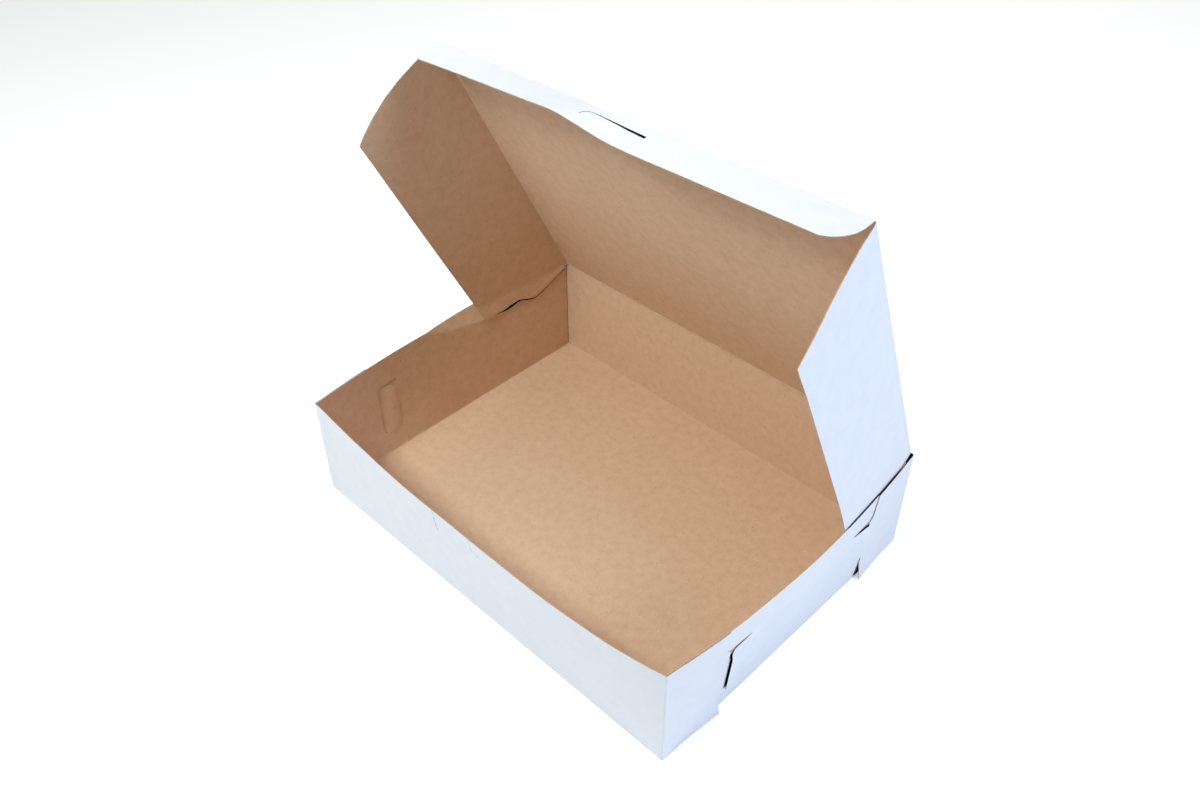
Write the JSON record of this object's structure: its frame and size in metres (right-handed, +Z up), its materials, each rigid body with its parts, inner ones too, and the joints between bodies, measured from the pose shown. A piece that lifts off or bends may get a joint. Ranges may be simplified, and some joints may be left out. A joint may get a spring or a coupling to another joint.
{
  "type": "bakery box",
  "caption": "Shallow rectangular paperboard food box with hook-locked corners, its hinged lid raised and carrying side flaps and a rounded front tuck flap.",
  "frame": {"origin": "centre of the tray's underside, on the surface that it rests on", "axes": "+Z up, +Y towards the lid's hinge at the back wall, +X along the front wall to its right-hand end as seen from the front"},
  "size_m": [0.3224, 0.2363, 0.2791],
  "materials": {
    "tray_board": "matt clay-coated white outside, bare brown kraft inside",
    "lid_board": "matt clay-coated white outside, bare brown kraft inside",
    "left_flap_board": "matt clay-coated white outside, bare brown kraft inside",
    "right_flap_board": "matt clay-coated white outside, bare brown kraft inside",
    "front_flap_board": "matt clay-coated white outside, bare brown kraft inside"
  },
  "bodies": {
    "tray": {"tray": "tray_board"},
    "lid": {"lid": "lid_board"},
    "left_side_flap": {"left_side_flap": "left_flap_board"},
    "right_side_flap": {"right_side_flap": "right_flap_board"},
    "front_flap": {"front_flap": "front_flap_board"}
  },
  "joints": [
    {"name": "lid_hinge", "type": "hinge", "parent": "tray", "child": "lid", "pos_m": [0, 0.1143, 0.0768], "axis": [-1, 0, 0], "range_deg": [-63.6, 116.4]},
    {"name": "left_flap_crease", "type": "hinge", "parent": "lid", "child": "left_side_flap", "pos_m": [-0.15025, 0.11381, 0.07655], "axis": [0, -0.4446, 0.8957], "range_deg": [0, 90]},
    {"name": "right_flap_crease", "type": "hinge", "parent": "lid", "child": "right_side_flap", "pos_m": [0.15025, 0.11381, 0.07655], "axis": [0, 0.4446, -0.8957], "range_deg": [0, 90]},
    {"name": "front_flap_crease", "type": "hinge", "parent": "lid", "child": "front_flap", "pos_m": [0, 0.01354, 0.27855], "axis": [-1, 0, 0], "range_deg": [0, 90]}
  ]
}
